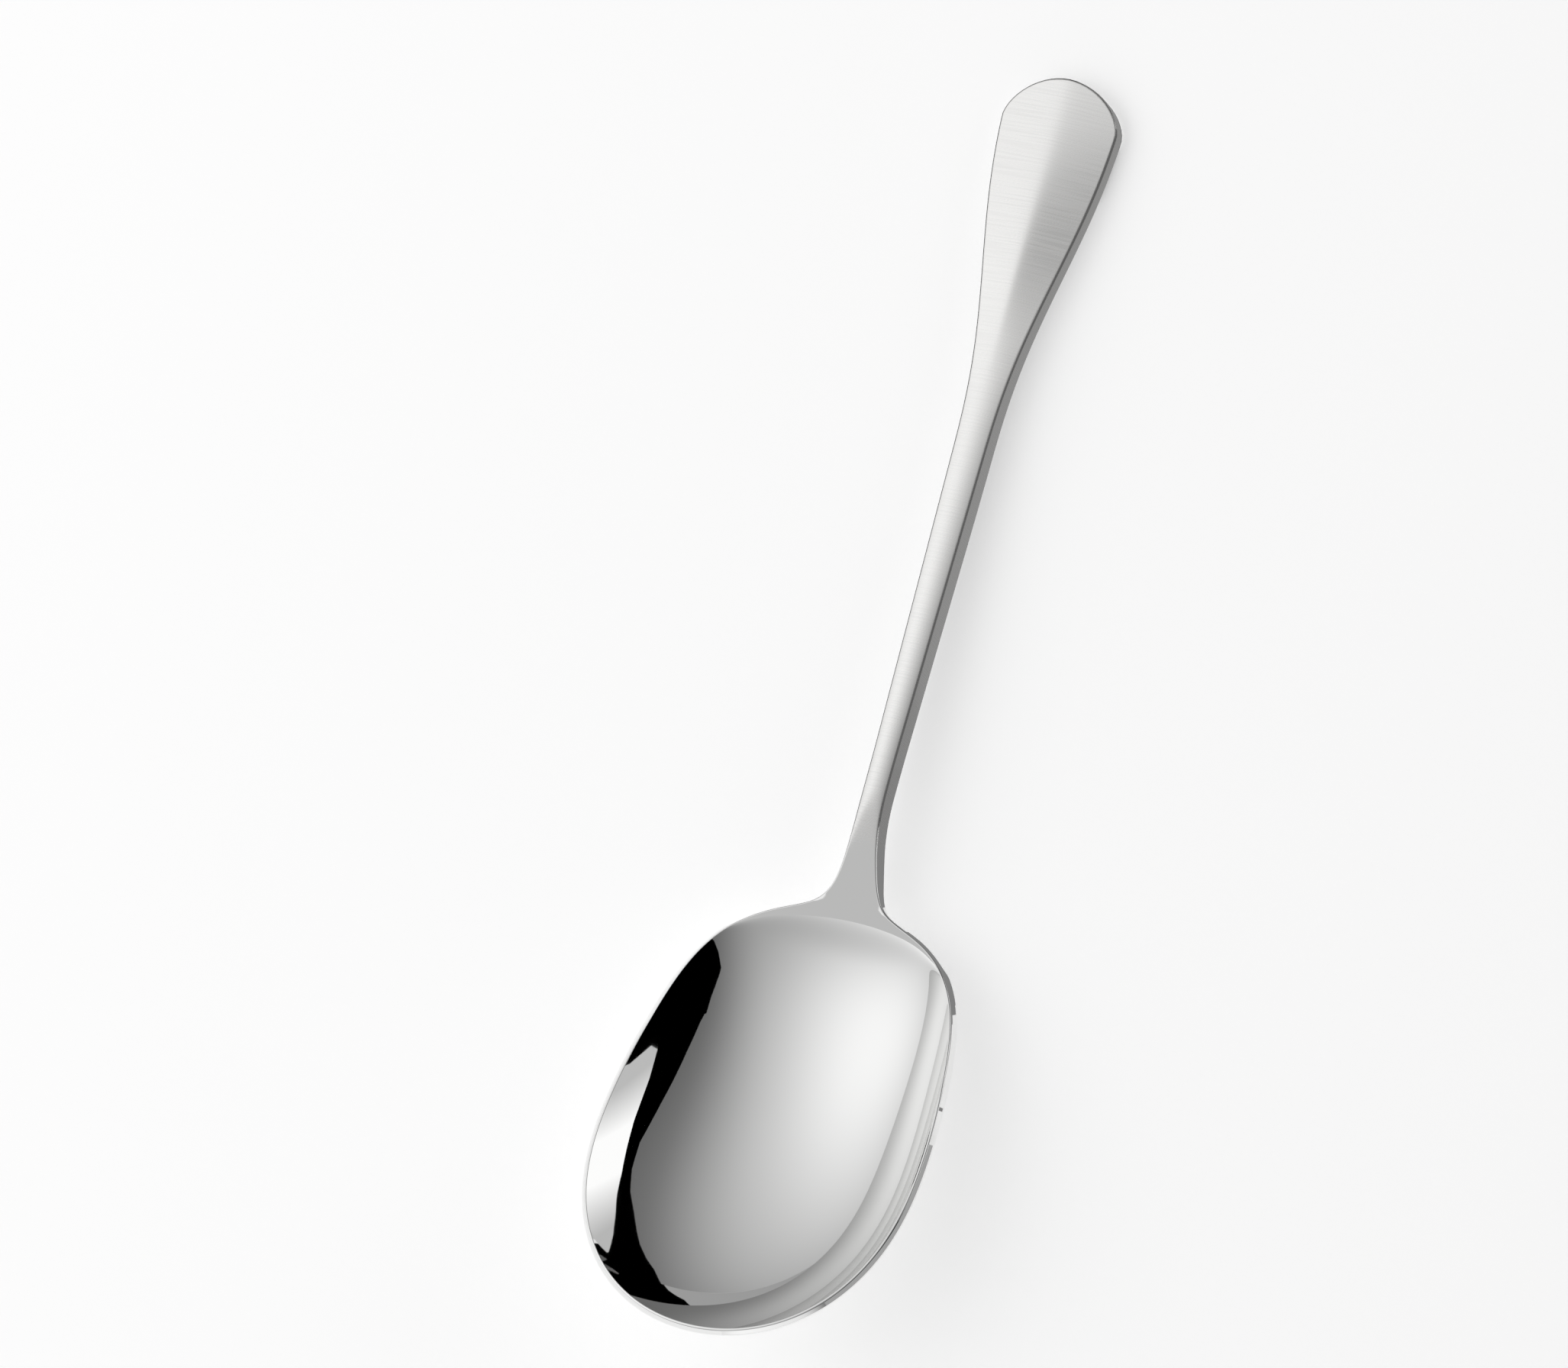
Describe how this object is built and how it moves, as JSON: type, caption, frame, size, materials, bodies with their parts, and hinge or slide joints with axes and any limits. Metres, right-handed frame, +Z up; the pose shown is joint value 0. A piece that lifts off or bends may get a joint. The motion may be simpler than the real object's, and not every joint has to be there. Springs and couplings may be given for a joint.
{
  "type": "serving spoon",
  "caption": "Stainless serving spoon with a deep oval bowl, a raised neck and a slim crowned handle that flares to a rounded, softly ridged end.",
  "frame": {"origin": "on the surface that the spoon lies on, under the middle of its bounding box", "axes": "+Y along the spoon from the bowl's tip to the handle's end, +X across the bowl, +Z up; the spoon lies on its belly and on the end of its handle, so the rim slopes up towards the tip by about 15 degrees"},
  "size_m": [0.0684, 0.2422, 0.0296],
  "materials": {
    "polished_steel": "mirror-polished stainless steel",
    "satin_steel": "finely brushed stainless steel with a soft gloss",
    "weld_steel": "weld bead ground flush and polished with the neck"
  },
  "bodies": {
    "root": {"bowl": "polished_steel", "neck_weld": "weld_steel", "handle": "satin_steel"}
  },
  "joints": []
}
